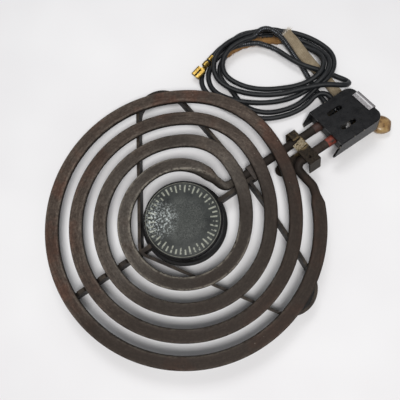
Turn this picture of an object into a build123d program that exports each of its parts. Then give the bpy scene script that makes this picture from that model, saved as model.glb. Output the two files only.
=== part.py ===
from build123d import *
import os
from math import atan2, cos, degrees, radians, sin, tan

# Plug-in sheathed coil element of a cooktop, with the receptacle that it plugs into and its
# two coiled leads. Millimetres. +Z is up, +X is the way the terminal legs leave the coil.
# The origin is under the centre of the coil, on the surface that the support stands on.

# ---- driving dimensions -------------------------------------------------------------------
# Coil
SHEATH_D = 6.6            # round sheath of the cold legs
FACE_W = 9.6              # flattened sheath, width of the face
FACE_H = 5.8              # flattened sheath, height
INNER_R = 43.3            # centre line of the innermost full turn
PITCH = 17.5              # step from one turn to the next
TURNS = 4
STEP_START = -48.7        # each turn steps out between these two angles
STEP_END = 52.5
INNER_END_R = 33.7        # radius of the last stretch towards the inner leg
INNER_END_FROM = 80.0     # where that stretch begins
INNER_END_SWEEP = 62.0
OUTER_END = -26.0         # where the outermost turn leaves its circle

# Support
STRIP_H = 13.0
STRIP_T = 2.2
HOOP_APEX = (-38.8, 0)    # where the hoop's straight lines meet: its point on the bar,
HOOP_LEFT = (44.1, 135.9)  # the far corners,
HOOP_RIGHT = (49.8, -134.4)
HOOP_BOW = (59.5, -6.7)   # and the middle of the bowed side that crosses the legs
HOOP_BOW_R = 720.0
HOOP_CROSS = 56.5         # where that side crosses the bar
HOOP_CORNER_R = 18.8
HOOP_APEX_R = 8.0
BAR_T = 3.2
BAR_END_OUT = 101.5
BAR_END_IN = 65.0
TAB_H = 2.6
TAB_L = 6.2

# Terminal end, all of it rolled about an axis along X
ROLL = 17.0
LEG_GAP = 15.4            # distance between the two legs
AXIS_Y = -2.1
AXIS_Z = 10.85
LEG_LOW_Z = 8.6           # height of the legs where they pass under the turns
SHEATH_END_X = 118.6
SEAL_L = 6.4
SEAL_D = 7.0
PIN_D = 3.9
PIN_END_X = 136.5

# Receptacle, in its own rolled frame with its front at FRONT_X
FRONT_X = 123.5
COVER_L = 38.0
COVER_W = 37.2
COVER_TOP = 7.0
COVER_LOW = 6.2
COVER_T = 1.6
COVER_CORNER_R = 7.0
SLOT_L = 12.6
SLOT_W = 4.0
SLOT_X = 14.6
CLIP_W = 18.0
CLIP_T = 0.8
INSULATOR_TO = 15.4       # the insulator fills the front of the cover as far as this
LEAD_X = {"a": 18.4, "b": 23.6}
LEAD_DROP = -3.7          # height of the leads inside the cover

# Medallion
CAP_R = 27.6
CAP_TOP = 30.0
RIM_LINE_R = 26.0
DRUM_R = 30.9             # widest, at the skirt below the turns
DRUM_WIDE_Z = 12.3
DRUM_LOW = 4.6

# Leads
LEAD_D = 4.0
LEAD_Z = 2.2
SLEEVE_D = 7.0
SLEEVE_BORE = 5.0
SLEEVE_Z = 3.7
COIL_MID = (125.0, 66.0)
COIL_TILT = -34.0         # long axis of the oval of wire
COIL_OUT = (48.5, 32.0)
COIL_IN = (34.0, 17.5)
COIL_H = 14.0

# Push-on terminals
QC_L = 21.0
QC_W = 7.9
QC_H = 3.0

TURN_Z = STRIP_H + 0.05 + FACE_H / 2
ROLLED = Location((0, AXIS_Y, AXIS_Z), (-ROLL, 0, 0))
RECEPTACLE = Location((FRONT_X, AXIS_Y, AXIS_Z), (-ROLL, 0, 0))
LEG_IN_Y = AXIS_Y + LEG_GAP / 2 * cos(radians(ROLL))
LEG_IN_Z = AXIS_Z - LEG_GAP / 2 * sin(radians(ROLL))
LEG_OUT_Y = AXIS_Y - LEG_GAP / 2 * cos(radians(ROLL))
LEG_OUT_Z = AXIS_Z + LEG_GAP / 2 * sin(radians(ROLL))


# ---- helpers ------------------------------------------------------------------------------
def on_circle(radius, angle, z=0.0):
    return Vector(radius * cos(radians(angle)), radius * sin(radians(angle)), z)


def ahead(angle):
    return Vector(cos(radians(angle)), sin(radians(angle)), 0)


def box(x0, x1, y0, y1, z0, z1):
    return Pos((x0 + x1) / 2, (y0 + y1) / 2, (z0 + z1) / 2) * Box(x1 - x0, y1 - y0, z1 - z0)


def rod(x0, x1, y, z, radius):
    """A cylinder along X."""
    return Pos((x0 + x1) / 2, y, z) * Rot(0, 90, 0) * Cylinder(radius, x1 - x0)


def corner_radii(points, share=0.45):
    """The largest tangent arc at each corner that leaves room for its neighbours."""
    radii = []
    for before, at, after in zip(points, points[1:], points[2:]):
        into = Vector(*at) - Vector(*before)
        out = Vector(*after) - Vector(*at)
        turn = radians(into.get_angle(out))
        radii.append(share * min(into.length, out.length) / tan(turn / 2))
    return radii


def bent_line(points, radii=None):
    return FilletPolyline(*points, radius=radii or corner_radii(points))


def swept_disc(path, radius):
    line = Wire(path.edges())
    return sweep(Plane(origin=line @ 0, z_dir=line % 0) * Circle(radius), path=line)


def ring_profile(points):
    """A turned piece from (radius, height) pairs."""
    outline = Polyline(*[(r, 0, z) for r, z in points], close=True)
    return revolve(make_face(outline), axis=Axis.Z)


NODES = {}


def keep(name, shape):
    NODES[name] = shape
    return shape


# ---- the coil -----------------------------------------------------------------------------
def chord(heading, sweep_angle):
    """Displacement along an arc of unit radius that turns left."""
    a, b = radians(heading), radians(heading + sweep_angle)
    return sin(b) - sin(a), cos(a) - cos(b)


def step_out(start, r_to):
    """Two tangent arcs that lead from one turn's circle to the next."""
    heading = STEP_START + 90
    half = (STEP_END - STEP_START) / 2
    goal = on_circle(r_to, STEP_END, start.Z) - start
    ax, ay = chord(heading, half)
    bx, by = chord(heading + half, half)
    det = ax * by - bx * ay
    first = (goal.X * by - bx * goal.Y) / det
    second = (ax * goal.Y - goal.X * ay) / det
    one = JernArc(start=start, tangent=ahead(heading), radius=first, arc_size=half)
    two = JernArc(start=one @ 1, tangent=one % 1, radius=second, arc_size=half)
    return [one, two]


def coil_line():
    """The centre line of the flattened turns, from the inside out."""
    level = Vector(0, 0, TURN_Z)
    join = on_circle(INNER_R, INNER_END_FROM) + level
    lead_in = JernArc(
        start=join,
        tangent=ahead(INNER_END_FROM - 90),
        radius=INNER_END_R,
        arc_size=-INNER_END_SWEEP,
    )
    edges = [Edge.make_three_point_arc(lead_in @ 1, lead_in @ 0.5, lead_in @ 0)]
    angle = INNER_END_FROM
    radius = INNER_R
    for turn in range(TURNS):
        stop = STEP_START + 360 if turn < TURNS - 1 else OUTER_END + 360
        here = edges[-1] @ 1
        arc = JernArc(start=here, tangent=ahead(angle + 90), radius=radius, arc_size=stop - angle)
        edges.append(arc)
        if turn < TURNS - 1:
            radius += PITCH
            edges += step_out(arc @ 1, radius)
            angle = STEP_END
    return Wire(edges)


def sheath_face(point, heading):
    """The flattened section: a broad flat top with small corners and a rounder underside."""
    side = Vector(0, 0, 1).cross(heading)
    outline = Rectangle(FACE_W, FACE_H)
    low = outline.vertices().sort_by(Axis.Y)[:2]
    outline = fillet(low, 2.7)
    high = outline.vertices().sort_by(Axis.Y)[-2:]
    outline = fillet(high, 1.5)
    return Plane(origin=point, x_dir=side, z_dir=heading) * outline


def leg(points, radii):
    path = bent_line(points, radii)
    return swept_disc(path, SHEATH_D / 2)


def blend_to_round(point, heading, corners):
    """A short stretch where the flattened sheath becomes the round leg that starts there."""
    start, after = Vector(*corners[0]), Vector(*corners[1])
    ring = Plane(origin=start, z_dir=(after - start).normalized()) * Circle(SHEATH_D / 2)
    return loft([sheath_face(point, heading), ring])


def heating_coil():
    line = coil_line()
    turns = sweep(sheath_face(line @ 0, line % 0), path=line)

    inner = line @ 0
    out_of_turn = (line % 0) * -1
    first = inner + out_of_turn * 6.5 - Vector(0, 0, 0.9)
    reach = (first.Y - LEG_IN_Y) / -out_of_turn.Y
    corner = first + out_of_turn * reach - Vector(0, 0, 1.6)
    corners = [
        first,
        corner,
        (corner.X + 11.5, LEG_IN_Y, LEG_LOW_Z),
        (SHEATH_END_X, LEG_IN_Y, LEG_LOW_Z),
    ]
    inner_leg = leg(corners, [6.0, 16.0])
    inner_blend = blend_to_round(inner, out_of_turn, corners)

    outer = line @ 1
    onward = line % 1
    start = outer + onward * 6.5 - Vector(0, 0, 0.7)
    side_x = 91.6
    corners = [
        start,
        (side_x, start.Y + 6.5, start.Z - 1.6),
        (side_x, -16.5, LEG_LOW_Z - 0.2),
        (side_x + 0.3, LEG_OUT_Y, LEG_LOW_Z - 0.4),
        (side_x + 11.6, LEG_OUT_Y, LEG_OUT_Z),
        (SHEATH_END_X, LEG_OUT_Y, LEG_OUT_Z),
    ]
    outer_leg = leg(corners, [14.0, 14.0, 5.4, 8.0])
    outer_blend = blend_to_round(outer, onward, corners)
    keep("heating_coil", turns + inner_blend + inner_leg + outer_blend + outer_leg)
    print("coil line", round(line.length, 1), "turn volume", round(turns.volume),
          "section x length", round(sheath_face(line @ 0, line % 0).area * line.length))


def terminals():
    legs = {"inner": (LEG_IN_Y, LEG_IN_Z), "outer": (LEG_OUT_Y, LEG_OUT_Z)}
    for name, (y, z) in legs.items():
        height = LEG_LOW_Z if name == "inner" else z
        seal = rod(SHEATH_END_X, SHEATH_END_X + SEAL_L, y, height, SEAL_D / 2)
        seal -= rod(SHEATH_END_X - 1, SHEATH_END_X + SEAL_L + 1, y, height, PIN_D / 2)
        keep(f"end_seal_{name}", fillet(seal.edges().sort_by(Axis.X)[-1], 0.6))
        pin = rod(SHEATH_END_X, PIN_END_X, y, height, PIN_D / 2)
        keep(f"pin_{name}", chamfer(pin.edges().sort_by(Axis.X)[-1], 0.7))


# ---- the support --------------------------------------------------------------------------
def hoop_line():
    """The outline of the strip's middle: two straight sides, a bowed one and rounded corners."""
    corners = (HOOP_APEX, HOOP_LEFT, HOOP_BOW, HOOP_RIGHT)
    face = make_face(Polyline(*[(x, y, 0) for x, y in corners], close=True))
    face = fillet(face.vertices().sort_by(Axis.X)[1:3], HOOP_CORNER_R)
    face = fillet(face.vertices().sort_by(Axis.X)[-1:], HOOP_BOW_R)
    return fillet(face.vertices().sort_by(Axis.X)[:1], HOOP_APEX_R)


def support_hoop():
    middle = hoop_line()
    outer = offset(middle, amount=STRIP_T / 2, kind=Kind.ARC)
    inner = offset(middle, amount=-STRIP_T / 2, kind=Kind.ARC)
    hoop = extrude(outer, STRIP_H) - extrude(inner, STRIP_H)
    half = STRIP_H / 2
    fit = BAR_T / 2 + 0.05
    hoop -= box(-60, -30, -fit, fit, half, STRIP_H + 1)
    hoop -= box(50, 60, -fit, fit, half, STRIP_H + 1)
    # the inner leg passes through a round-bottomed notch
    room = SHEATH_D / 2 + 0.3
    hoop -= rod(50, 60, LEG_IN_Y, LEG_LOW_Z, room)
    hoop -= box(50, 60, LEG_IN_Y - room, LEG_IN_Y + room, LEG_LOW_Z, STRIP_H + 1)
    keep("support_hoop", hoop)


def main_bar():
    half = BAR_T / 2
    bar = box(-BAR_END_OUT, BAR_END_IN, -half, half, 0, STRIP_H)
    # tabs stand up in the gaps between the turns, on the side away from the legs
    for gap in range(TURNS - 1):
        middle = -(INNER_R + PITCH * (gap + 0.5))
        tab = box(middle - TAB_L / 2, middle + TAB_L / 2, -half, half, STRIP_H - 0.1, STRIP_H + TAB_H)
        bar += chamfer(tab.edges().filter_by(Axis.Y).sort_by(Axis.Z)[-2:], 0.8)
    # beyond the crossing side the bar is lower, for the clamp
    bar -= box(HOOP_CROSS + 2.0, BAR_END_IN + 1, -3, 3, STRIP_H - 1.3, STRIP_H + 3)
    # half laps where it crosses the strip
    lap = STRIP_T / 2 + 0.35
    lean = atan2(HOOP_LEFT[1] - HOOP_RIGHT[1], HOOP_LEFT[0] + HOOP_RIGHT[0] - 2 * HOOP_APEX[0])
    rounded = HOOP_APEX[0] + HOOP_APEX_R * (1 / sin(lean) - 1)
    for place in (rounded, HOOP_CROSS):
        bar -= box(place - lap, place + lap, -3, 3, -1, STRIP_H / 2)
    # the rounded outer end
    end = bar.edges().filter_by(Axis.Y).group_by(Axis.X)[0]
    keep("main_bar", fillet(end, 3.0))


def leg_clamp():
    """A strap closed around the end of the bar and the inner leg."""
    skin = 0.9
    x0, x1 = HOOP_CROSS + 3.4, BAR_END_IN - 0.6
    y0, y1 = -BAR_T / 2 - 0.05, LEG_IN_Y + SHEATH_D / 2 + 0.15
    z0, z1 = LEG_LOW_Z - SHEATH_D / 2 - 0.1, LEG_LOW_Z + SHEATH_D / 2 + 0.1
    outside = box(x0, x1, y0 - skin, y1 + skin, z0 - skin, z1 + skin)
    outside = fillet(outside.edges().filter_by(Axis.X), 1.4)
    strap = outside - box(x0 - 1, x1 + 1, y0, y1, z0, z1)
    strap -= box(x0 - 1, x1 + 1, -BAR_T / 2 - 0.05, BAR_T / 2 + 0.05, z0 - 3, z0 + 1)
    keep("leg_clamp", strap)


def terminal_bracket():
    """Plated sheet folded around both legs, with a tongue that reaches under the coil."""
    t = 1.0
    x0, x1 = 96.0, 106.0
    right, left = -17.4, 13.6
    low, high = -6.4, 6.4
    plate = box(x1 - t, x1, right, left, low, high)
    hood = box(x0 + 0.5, x1, right, -3.2, high - t, high)
    hood += box(x0 + 0.5, x1, right, right + t, low, high)
    hood += box(x1 - 6.4, x1, 6.0, left, high - t, high)
    hood += box(x1 - 8.0, x1, left - t, left, low + 2.0, high)
    flap = Pos(x1 - 4.2, 1.4, high - 2.3) * Rot(0, -32, 0) * Box(8.4, 6.6, t)
    body = plate + hood + flap
    body -= Pos(x0 + 4.6, -12.0, high) * Cylinder(1.1, 6)
    for y in (-LEG_GAP / 2, LEG_GAP / 2):
        body -= rod(x1 - 3, x1 + 3, y, 0, SHEATH_D / 2 + 0.25)
    body = ROLLED * body
    top = LEG_LOW_Z - 0.4 - SHEATH_D / 2 - 0.2
    tongue = box(82.3, x1, -10.9, -1.5, top - t, top)
    tongue += Pos(82.3, -6.2, top - t / 2) * Cylinder(4.7, t)
    tongue += box(x1 - t, x1, -10.9, -1.5, top - t, top + 3.0)
    keep("terminal_bracket", body + tongue)


# ---- the medallion ------------------------------------------------------------------------
def medallion():
    drum_top = CAP_TOP - 3.4
    skin = 1.2
    top_r = CAP_R - 0.4
    neck_r = top_r + 1.5
    drum = ring_profile([
        (0, drum_top),
        (top_r - 1.0, drum_top),
        (top_r, drum_top - 1.0),
        (neck_r, DRUM_WIDE_Z + 1.4),
        (DRUM_R - 0.5, DRUM_WIDE_Z + 0.4),
        (DRUM_R, DRUM_WIDE_Z),
        (DRUM_R - 0.8, DRUM_LOW),
        (DRUM_R - 0.8 - skin, DRUM_LOW),
        (DRUM_R - skin, DRUM_WIDE_Z - 0.8),
        (neck_r - skin, DRUM_WIDE_Z + 0.2),
        (top_r - skin, drum_top - skin),
        (0, drum_top - skin),
    ])
    drum -= box(-40, 40, -BAR_T / 2 - 0.4, BAR_T / 2 + 0.4, 0, STRIP_H + 0.4)
    drum -= Pos(0, 0, drum_top) * Cylinder(2.2, 6)
    keep("medallion_drum", drum)

    cap = ring_profile([
        (0, CAP_TOP),
        (CAP_R - 2.6, CAP_TOP - 0.5),
        (CAP_R - 0.7, CAP_TOP - 1.3),
        (CAP_R, CAP_TOP - 2.6),
        (CAP_R, CAP_TOP - 5.4),
        (CAP_R - 0.1, CAP_TOP - 5.4),
        (CAP_R - 0.1, CAP_TOP - 3.35),
        (0, CAP_TOP - 3.35),
    ])
    groove = Pos(0, 0, CAP_TOP - 0.5) * (Cylinder(RIM_LINE_R, 1.0) - Cylinder(RIM_LINE_R - 0.45, 1.0))
    inlay_cut = groove & cap
    keep("medallion_inlay", inlay_cut)
    cap -= groove
    cap -= Pos(0, 0, CAP_TOP - 3.4) * Cylinder(4.2, 4.0)
    keep("medallion_cap", cap)

    # a saddle astride the bar, riveted through it, and a screw down into it
    seat = drum_top - skin - 0.02
    saddle = box(-7, 7, -BAR_T / 2 - 1.05, BAR_T / 2 + 1.05, STRIP_H - 7, seat)
    saddle -= box(-8, 8, -BAR_T / 2 - 0.05, BAR_T / 2 + 0.05, STRIP_H - 8, seat - 1.2)
    saddle += box(-7, 7, -7, 7, seat - 1.2, seat)
    saddle -= Pos(0, 0, seat) * Cylinder(1.75, 2.4)
    saddle -= Pos(0, 0, seat - 6.2) * Cylinder(1.9, 10)
    rivets = []
    for x in (-4.4, 4.4):
        along_y = Pos(x, 0, STRIP_H - 3.6) * Rot(90, 0, 0)
        shank = along_y * Cylinder(1.2, BAR_T + 2.1)
        saddle -= along_y * Cylinder(1.2, 12)
        NODES["main_bar"] -= along_y * Cylinder(1.2, 12)
        reach = BAR_T / 2 + 1.05
        heads = [Pos(x, s * (reach + 0.45), STRIP_H - 3.6) * Rot(90, 0, 0) * Cylinder(2.1, 0.9)
                 for s in (-1, 1)]
        rivets.append(shank + heads[0] + heads[1])
    keep("medallion_saddle", saddle)
    keep("saddle_rivets", Compound(children=rivets))

    head = Pos(0, 0, drum_top + 0.9) * Cylinder(3.6, 1.8)
    head -= box(-4, 4, -0.4, 0.4, drum_top + 1.0, drum_top + 3)
    shank_low = STRIP_H + 0.6
    shank = Pos(0, 0, (drum_top + shank_low) / 2) * Cylinder(1.75, drum_top - shank_low)
    keep("medallion_screw", head + shank)


# ---- the receptacle, in its own frame: front at x = 0, legs at z = 0 ------------------------
def rounded_box(length, width, z0, z1, corner):
    """A block from x = 0 whose two rear upright corners are rounded."""
    block = box(0, length, -width / 2, width / 2, z0, z1)
    rear = block.edges().filter_by(Axis.Z).group_by(Axis.X)[-1]
    return fillet(rear, corner)


def cover_shell():
    outside = rounded_box(COVER_L, COVER_W, -COVER_LOW, COVER_TOP, COVER_CORNER_R)
    inside = rounded_box(
        COVER_L - COVER_T, COVER_W - 2 * COVER_T, -COVER_LOW - 1, COVER_TOP - COVER_T,
        COVER_CORNER_R - COVER_T,
    )
    inside += box(-1, 1, -COVER_W / 2 + COVER_T, COVER_W / 2 - COVER_T,
                  -COVER_LOW - 1, COVER_TOP - COVER_T)
    cover = outside - inside
    rim = cover.edges().group_by(Axis.Z)[-1]
    cover = fillet([e for e in rim if e.center().X > 0.5], 0.7)
    # cheeks lean forward at the foot of both sides
    for side in (-1, 1):
        y0, y1 = sorted((side * COVER_W / 2, side * (COVER_W / 2 - COVER_T)))
        cheek = Polyline((0, 0, COVER_TOP - 1.5), (-6.2, 0, -3.4), (-6.2, 0, -COVER_LOW),
                         (0, 0, -COVER_LOW), close=True)
        cheek = extrude(make_face(cheek), y1 - y0, dir=(0, 1, 0))
        cover += Pos(0, y0, 0) * cheek
    for y in (-LEG_GAP / 2, LEG_GAP / 2):
        slot = Pos(SLOT_X, y, COVER_TOP) * extrude(SlotOverall(SLOT_L, SLOT_W), 4, both=True)
        cover -= slot
    # leads and sleeve pass under the left side
    cover -= box(15.8, 36.0, 5, COVER_W / 2 + 1, -COVER_LOW - 1, 2.0)
    # the feet are bevelled so that the rolled cover clears the surface
    for side in (-1, 1):
        cutter = Pos(0, side * COVER_W / 2, -COVER_LOW) * Rot(45, 0, 0) * Box(120, 2.6, 2.6)
        cover -= cutter
    keep("cover_shell", RECEPTACLE * cover)


def insulator_block():
    high = COVER_TOP - COVER_T - 0.05
    wide = COVER_W / 2 - COVER_T - 0.15
    block = box(1.2, INSULATOR_TO, -wide, wide, -4.6, high)
    for y in (-LEG_GAP / 2, LEG_GAP / 2):
        block -= rod(0, 2.6, y, 0, SEAL_D / 2 + 0.5)
        block -= rod(0, INSULATOR_TO + 1, y, 0, 3.05)
        slot = Pos(SLOT_X, y, 0) * extrude(SlotOverall(SLOT_L, SLOT_W), 10)
        block -= slot
        block -= box(10, INSULATOR_TO + 1, y - 1.7, y + 1.7, -3.1, 0)
    for x in (5.0, 12.0):
        block -= Pos(x, 0, -3) * Cylinder(1.25, 8)
    keep("insulator_block", RECEPTACLE * block)

    screws = []
    for x in (5.0, 12.0):
        shank = Pos(x, 0, -1.9) * Cylinder(1.25, 5.4)
        head = Pos(x, 0, -5.2) * Cylinder(2.4, 1.2)
        head -= Pos(x, 0, -5.8) * Box(5, 0.7, 0.8)
        screws.append(RECEPTACLE * (shank + head))
    keep("insulator_screws", Compound(children=screws))


def contact(name, y):
    """A split spring sleeve on the pin, a tail behind it and a barrel closed on the lead."""
    inner = PIN_D / 2 + 0.05
    sleeve = rod(2.7, 11.0, y, 0, 2.95) - rod(2, 12, y, 0, inner)
    sleeve -= box(2, 12, y - 0.5, y + 0.5, 0, 4)
    x = LEAD_X[name]
    tail_z = -2.5
    tail = box(10.2, x + 1.2, y - 1.6, y + 1.6, tail_z - 0.4, tail_z + 0.4)
    tail += box(10.2, 11.0, y - 1.6, y + 1.6, tail_z - 0.4, -2.05)
    barrel = Pos(x, y, LEAD_DROP) * Rot(90, 0, 0) * (Cylinder(2.65, 6.0) - Cylinder(2.02, 7.0))
    tail -= Pos(x, y, LEAD_DROP) * Rot(90, 0, 0) * Cylinder(2.02, 12)
    return RECEPTACLE * (sleeve + tail + barrel)


def cover_clip():
    """A bright strip folded over the rear edge of the cover."""
    y0, y1 = -CLIP_W / 2 + 1.0, CLIP_W / 2 + 1.0
    top = box(COVER_L - 5.2, COVER_L + CLIP_T, y0, y1, COVER_TOP, COVER_TOP + CLIP_T)
    back = box(COVER_L, COVER_L + CLIP_T, y0, y1, -3.4, COVER_TOP + CLIP_T)
    lip = box(COVER_L - COVER_T - CLIP_T, COVER_L + CLIP_T, y0, y1, -COVER_LOW - CLIP_T, -COVER_LOW)
    back += box(COVER_L, COVER_L + CLIP_T, y0, y1, -COVER_LOW - CLIP_T, 0)
    clip = top + back + lip
    crest = clip.edges().filter_by(Axis.Y).group_by(Axis.Z)[-1].sort_by(Axis.X)[-1]
    keep("cover_clip", RECEPTACLE * fillet(crest, 0.7))


# ---- leads --------------------------------------------------------------------------------
def receptacle_point(x, y, z):
    return (RECEPTACLE * Pos(x, y, z)).position


RUN_A = [
    (142.2, 24.0, LEAD_Z),
    (143.0, 37.0, LEAD_Z),
    (145.2, 49.5, LEAD_Z),
    (146.4, 61.0, LEAD_Z),
    (146.0, 71.0, 4.2),
    (144.6, 80.0, 8.0),
]
LOOP_A = [
    (92.6, 80.0, LEAD_Z),
    (89.2, 68.0, LEAD_Z),
    (88.6, 56.4, LEAD_Z),
    (93.2, 45.6, LEAD_Z),
    (102.4, 37.0, LEAD_Z),
    (113.6, 31.8, LEAD_Z),
    (124.4, 29.6, 2.4),
    (134.6, 30.6, 3.6),
    (144.0, 32.2, 8.4),
    (154.4, 34.2, 10.0),
    (163.4, 39.4, 8.4),
]
RUN_B = [
    (147.2, 17.0, 4.6),
    (144.8, 27.6, 7.0),
    (134.8, 28.2, 5.4),
    (126.0, 25.4, 2.6),
    (116.2, 26.2, LEAD_Z),
    (106.6, 29.2, LEAD_Z),
    (95.4, 35.4, LEAD_Z),
    (84.8, 46.0, LEAD_Z),
    (76.8, 60.0, LEAD_Z),
    (71.6, 75.0, LEAD_Z),
    (73.4, 88.6, LEAD_Z),
    (83.0, 95.6, LEAD_Z),
    (93.0, 98.4, LEAD_Z),
]
LOOP_B = [
    (119.0, 88.6, 6.6),
    (127.6, 84.0, 6.5),
    (134.0, 75.8, 6.4),
    (138.2, 65.4, 6.6),
    (142.8, 55.2, 7.6),
    (149.2, 46.2, 9.4),
    (156.0, 39.2, 9.4),
    (162.0, 32.0, 6.4),
    (166.4, 24.2, 5.4),
    (158.4, 20.6, 9.6),
    (148.0, 26.8, 10.6),
    (138.0, 33.0, 10.2),
    (128.6, 37.6, 9.6),
]
TAIL_A = [
    (109.6, 100.8, 6.6),
    (102.4, 102.0, 6.6),
    (95.6, 101.0, 6.6),
    (89.4, 98.8, 6.6),
    (82.3, 96.9, 6.6),
]
SLEEVE = [
    (148.6, 85.4, 7.8),
    (150.6, 76.0, 7.6),
    (151.0, 66.5, 6.2),
    (151.8, 55.0, 4.2),
    (153.4, 42.0, SLEEVE_Z),
    (154.3, 28.0, SLEEVE_Z),
    (153.6, 14.0, SLEEVE_Z),
    (152.9, 2.0, SLEEVE_Z),
    (154.0, -9.5, SLEEVE_Z),
    (160.6, -15.4, SLEEVE_Z),
]
BEFORE_SLEEVE = [
    (124.0, 95.0, 9.0),
    (132.6, 96.0, 8.8),
    (141.6, 92.4, 8.2),
]


def lead_runs():
    """The leads from their contacts, out under the cover and across to the wire coil."""
    inner, outer = LEG_GAP / 2, -LEG_GAP / 2
    inside_a = [(inner - 2.6, LEAD_DROP), (11.4, LEAD_DROP + 0.1)]
    inside_b = [(outer - 2.6, LEAD_DROP), (2.2, LEAD_DROP + 0.2), (11.6, LEAD_DROP)]
    for name, route, stops in (("a", RUN_A, inside_a), ("b", RUN_B, inside_b)):
        inside = [tuple(receptacle_point(LEAD_X[name], along, z)) for along, z in stops]
        tube(f"lead_{name}_run", inside + route)


def lead_loops():
    """Stretches of both leads that stray from the oval of the coil."""
    tube("lead_a_loop", LOOP_A)
    tube("lead_b_loop", LOOP_B)


def lead_tails():
    tube("lead_a_tail", TAIL_A)
    tube("lead_b_tail", BEFORE_SLEEVE + SLEEVE)


def tube(name, points):
    radii = corner_radii(points)
    path = bent_line(points, radii)
    solid = swept_disc(path, LEAD_D / 2)
    section = 3.14159 * (LEAD_D / 2) ** 2
    print(name, "radii", [round(r, 1) for r in radii], "length", round(path.length, 1),
          "volume", round(solid.volume), "section x length", round(section * path.length))
    keep(name, solid)


def lead_coil():
    middle = Pos(COIL_MID[0], COIL_MID[1], 0.2) * Rot(0, 0, COIL_TILT)
    ring = extrude(Ellipse(*COIL_OUT) - Ellipse(*COIL_IN), COIL_H)
    keep("lead_coil", middle * ring)


def quick_connect():
    """A push-on terminal along -X with its crimp end at the origin."""
    t = 0.42
    shell = box(-QC_L, -QC_L + 8.0, -QC_W / 2, QC_W / 2, -QC_H / 2, QC_H / 2)
    shell = fillet(shell.edges().filter_by(Axis.X), 1.3)
    shell -= box(-QC_L - 1, -QC_L + 9, -QC_W / 2 + t, QC_W / 2 - t, -0.45, 0.95)
    shell -= box(-QC_L - 1, -QC_L + 9, -0.8, 0.8, 0, QC_H)
    shell -= Pos(-QC_L + 4, 0, -QC_H / 2) * Cylinder(0.9, 2.4)
    neck = box(-QC_L + 7.9, -3.0, -1.5, 1.5, -QC_H / 2, -QC_H / 2 + t)
    barrel = LEAD_D / 2 + 0.03
    for x0, x1 in ((-10.4, -6.4), (-4.6, 0.0)):
        wall = rod(x0, x1, 0, barrel + t - QC_H / 2, barrel + t)
        wall -= rod(x0 - 1, x1 + 1, 0, barrel + t - QC_H / 2, barrel)
        neck += wall
    neck -= rod(-10.5, 1, 0, barrel + t - QC_H / 2, barrel)
    return shell + neck


def beyond(points):
    """Where a lead ends and which way it points there, as an angle about Z."""
    last, before = Vector(*points[-1]), Vector(*points[-2])
    return last, degrees(atan2(last.Y - before.Y, last.X - before.X))


def quick_connects():
    """One terminal on each lead; the lead's end lies in its crimps."""
    lift = LEAD_D / 2 + 0.45 - QC_H / 2
    for name, route in (("a", TAIL_A), ("b", BEFORE_SLEEVE + SLEEVE)):
        end, angle = beyond(route)
        at = Pos(end.X, end.Y, end.Z - lift) * Rot(0, 0, angle + 180) * Pos(9.4, 0, 0)
        keep(f"quick_connect_{name}", at * quick_connect())


def sleeve_tan():
    """A woven sleeve on lead b, spread where it covers the terminal."""
    path = bent_line(SLEEVE)
    end, angle = beyond(SLEEVE)
    layers = []
    for radius, wide, high in ((SLEEVE_D / 2, 10.8, 6.8), (SLEEVE_BORE / 2, 9.2, 5.6)):
        longer = 0 if radius == SLEEVE_D / 2 else 0.2
        run = swept_disc(path, radius)
        place = Pos(end.X, end.Y, end.Z) * Rot(0, 0, angle)
        section = place * (Plane.YZ * Circle(radius))
        spread = place * Pos(6, 0, 0) * (Plane.YZ * Ellipse(wide / 2, high / 2))
        run += loft([section, spread])
        run += extrude(spread, 5.4 + longer, dir=ahead(angle))
        layers.append(run)
    keep("sleeve_tan", layers[0] - layers[1])


if __name__ == "__main__":
    heating_coil()
    terminals()
    support_hoop()
    main_bar()
    leg_clamp()
    terminal_bracket()
    medallion()
    cover_shell()
    insulator_block()
    keep("contact_inner", contact("a", LEG_GAP / 2))
    keep("contact_outer", contact("b", -LEG_GAP / 2))
    cover_clip()
    lead_runs()
    lead_loops()
    lead_tails()
    lead_coil()
    quick_connects()
    sleeve_tan()
    os.makedirs("parts", exist_ok=True)
    for name, shape in NODES.items():
        export_step(shape, f"parts/{name}.step")
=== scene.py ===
import math
import random

import bmesh
import bpy
from mathutils import Matrix, Vector


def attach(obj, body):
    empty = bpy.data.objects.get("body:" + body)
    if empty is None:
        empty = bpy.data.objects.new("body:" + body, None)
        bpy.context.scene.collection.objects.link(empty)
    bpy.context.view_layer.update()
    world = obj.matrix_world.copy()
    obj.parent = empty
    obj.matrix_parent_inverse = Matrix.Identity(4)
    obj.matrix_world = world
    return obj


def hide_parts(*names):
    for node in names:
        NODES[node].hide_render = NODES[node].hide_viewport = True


# Looks of a used cooktop coil element with its receptacle and leads.
# Lists of places are in millimetres, as in the part's source, and mm() turns them into metres.
# Other lengths are in metres, unless a comment says otherwise.

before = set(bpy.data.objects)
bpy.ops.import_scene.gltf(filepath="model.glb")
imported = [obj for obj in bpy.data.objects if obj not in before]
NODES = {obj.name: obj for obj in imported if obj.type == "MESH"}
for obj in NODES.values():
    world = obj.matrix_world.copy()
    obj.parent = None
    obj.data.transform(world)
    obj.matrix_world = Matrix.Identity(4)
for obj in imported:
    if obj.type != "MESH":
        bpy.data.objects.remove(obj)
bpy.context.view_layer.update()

CAMERA_PLACE = (-4.4, -54.4, 333.3)   # millimetres
CAMERA_RIGHT = (0.8307, -0.5545, -0.0484)
CAMERA_UP = (0.5522, 0.8101, 0.1967)
CAMERA_LENS = 40.5                    # millimetres
CAMERA_SENSOR = 36
FLOOR_COLOUR = (0.83, 0.82, 0.83)
FLOOR_DROP = 0.0002              # how far under the object the floor lies

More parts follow.
